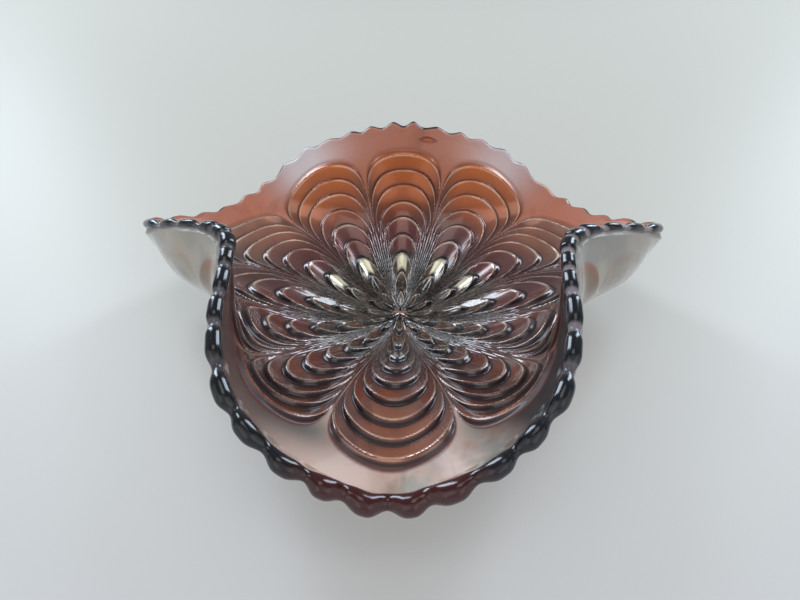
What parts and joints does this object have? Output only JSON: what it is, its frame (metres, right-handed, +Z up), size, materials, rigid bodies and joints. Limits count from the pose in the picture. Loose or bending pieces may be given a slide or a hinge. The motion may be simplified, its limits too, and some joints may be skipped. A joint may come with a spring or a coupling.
{
  "type": "carnival glass bowl",
  "caption": "Three-cornered pressed glass bowl with an iridescent inside, fan-shaped plumes, a starry well, a scalloped beaded lip and a low ring foot",
  "frame": {"origin": "centre of the foot, on the table", "axes": "+Z is up, +X runs through the two pointed side corners, -Y points to the low front corner"},
  "size_m": [0.1714, 0.1533, 0.0505],
  "materials": {
    "foot_glass": "polished dark amethyst glass",
    "well_glass": "iridescent grey-brown glass with silver and gold glints",
    "wall_glass": "iridescent copper-brown glass, milky outside",
    "rim_glass": "polished blue-black glass"
  },
  "bodies": {
    "root": {"collar_base": "foot_glass", "well_floor": "well_glass", "plume_wall": "wall_glass", "scalloped_rim": "rim_glass"}
  },
  "joints": []
}
